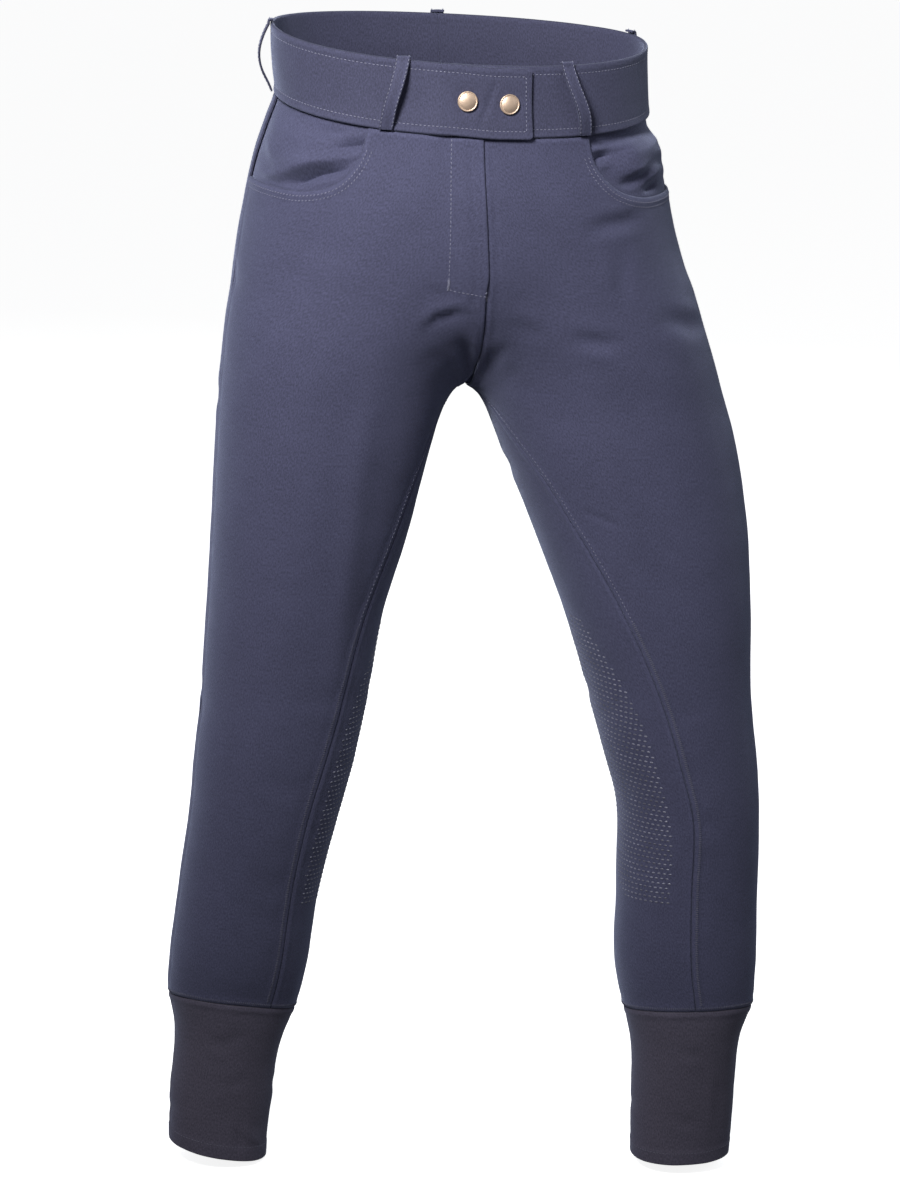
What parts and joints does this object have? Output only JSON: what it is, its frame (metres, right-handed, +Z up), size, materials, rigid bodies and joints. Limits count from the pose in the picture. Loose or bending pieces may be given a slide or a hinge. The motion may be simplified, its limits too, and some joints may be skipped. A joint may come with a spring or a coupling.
{
  "type": "riding breeches",
  "caption": "Filled-out riding breeches as worn: snap tab waistband with belt loops, fly, curved front pockets, legs with curved inner-leg seams, close sock cuffs",
  "frame": {"origin": "centre of the waist opening, halfway up the waistband, where the wearer's waist holds the garment", "axes": "+Z up the body, -Y the wearer's front, +X the wearer's left"},
  "size_m": [0.4926, 0.2387, 0.9741],
  "materials": {
    "cloth": "matt bonded double knit",
    "band_cloth": "matt bonded double knit, stiffened",
    "cuff_cloth": "smooth thin stretch knit",
    "snap_metal": "satin antique brass"
  },
  "bodies": {
    "root": {"front_right": "cloth", "front_left": "cloth", "back_right": "cloth", "back_left": "cloth", "pocket_facing_right": "cloth", "pocket_facing_left": "cloth", "cuff_right": "cuff_cloth", "cuff_left": "cuff_cloth", "waistband_right": "band_cloth", "waistband_left": "band_cloth", "loop_front_right": "band_cloth", "loop_front_left": "band_cloth", "loop_side_right": "band_cloth", "loop_side_left": "band_cloth", "loop_back": "band_cloth", "snap_1": "snap_metal", "snap_2": "snap_metal", "fly_zip": "band_cloth"}
  },
  "joints": []
}
